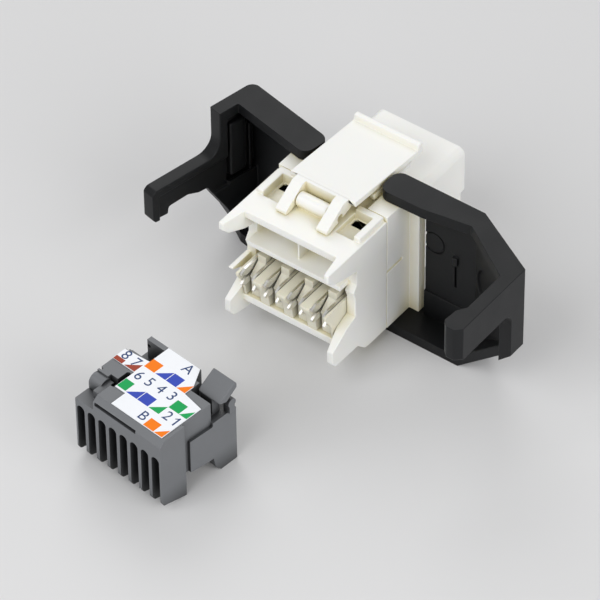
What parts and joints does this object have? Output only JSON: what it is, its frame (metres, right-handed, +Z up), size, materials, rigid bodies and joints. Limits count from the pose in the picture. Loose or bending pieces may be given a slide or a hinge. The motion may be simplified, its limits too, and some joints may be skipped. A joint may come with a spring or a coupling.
{
  "type": "keystone jack",
  "caption": "White keystone jack with a plug port, two black swing arms over its cable side, a raised latch plate and a grey slotted wire manager lying loose behind it.",
  "frame": {"origin": "on the resting plane, midway between the two arm pivots", "axes": "+X to the right seen from the cable side, +Y out of the plug port, +Z up"},
  "size_m": [0.0562, 0.0655, 0.0248],
  "materials": {
    "white_plastic": "satin moulded polycarbonate",
    "ivory_plastic": "satin moulded, slightly translucent",
    "black_nylon": "fine spark-eroded grain",
    "grey_plastic": "satin moulded",
    "label": "printed matt film",
    "board": "solder mask",
    "tinned_contact": "bright tin",
    "gold_contact": "bright gold plate"
  },
  "bodies": {
    "housing": {"front_housing": "white_plastic", "rear_housing": "white_plastic", "contact_comb": "ivory_plastic", "circuit_board": "board", "contact_guide": "ivory_plastic", "idc_contact_1": "tinned_contact", "idc_contact_2": "tinned_contact", "idc_contact_3": "tinned_contact", "idc_contact_4": "tinned_contact", "idc_contact_5": "tinned_contact", "idc_contact_6": "tinned_contact", "idc_contact_7": "tinned_contact", "idc_contact_8": "tinned_contact"},
    "port_springs": {"port_contact_1": "gold_contact", "port_contact_2": "gold_contact", "port_contact_3": "gold_contact", "port_contact_4": "gold_contact", "port_contact_5": "gold_contact", "port_contact_6": "gold_contact", "port_contact_7": "gold_contact", "port_contact_8": "gold_contact"},
    "latch": {"keystone_latch": "white_plastic"},
    "right_arm": {"right_arm": "black_nylon"},
    "left_arm": {"left_arm": "black_nylon"},
    "cap": {"wire_manager": "grey_plastic", "wiring_label": "label"}
  },
  "joints": [
    {"name": "right_arm_swing", "type": "hinge", "parent": "housing", "child": "right_arm", "pos_m": [0.0079, 0, 0], "axis": [0, 0, 1], "range_deg": [-70, 0]},
    {"name": "left_arm_swing", "type": "hinge", "parent": "housing", "child": "left_arm", "pos_m": [-0.0079, 0, 0], "axis": [0, 0, -1], "range_deg": [-50, 0]},
    {"name": "latch_press", "type": "hinge", "parent": "housing", "child": "latch", "pos_m": [0, -0.0085, 0.0228], "axis": [-1, 0, 0], "range_deg": [0, 5], "stiffness_Nm_per_rad": 0.05},
    {"name": "port_spring_flex", "type": "hinge", "parent": "housing", "child": "port_springs", "pos_m": [0, -0.0029, 0.0142], "axis": [1, 0, 0], "range_deg": [0, 3.5], "stiffness_Nm_per_rad": 0.02},
    {"name": "wire_manager_slide", "type": "slide", "parent": "housing", "child": "cap", "axis": [0.0458, 0.9477, 0.3159], "range_m": [0, 0.015]}
  ]
}
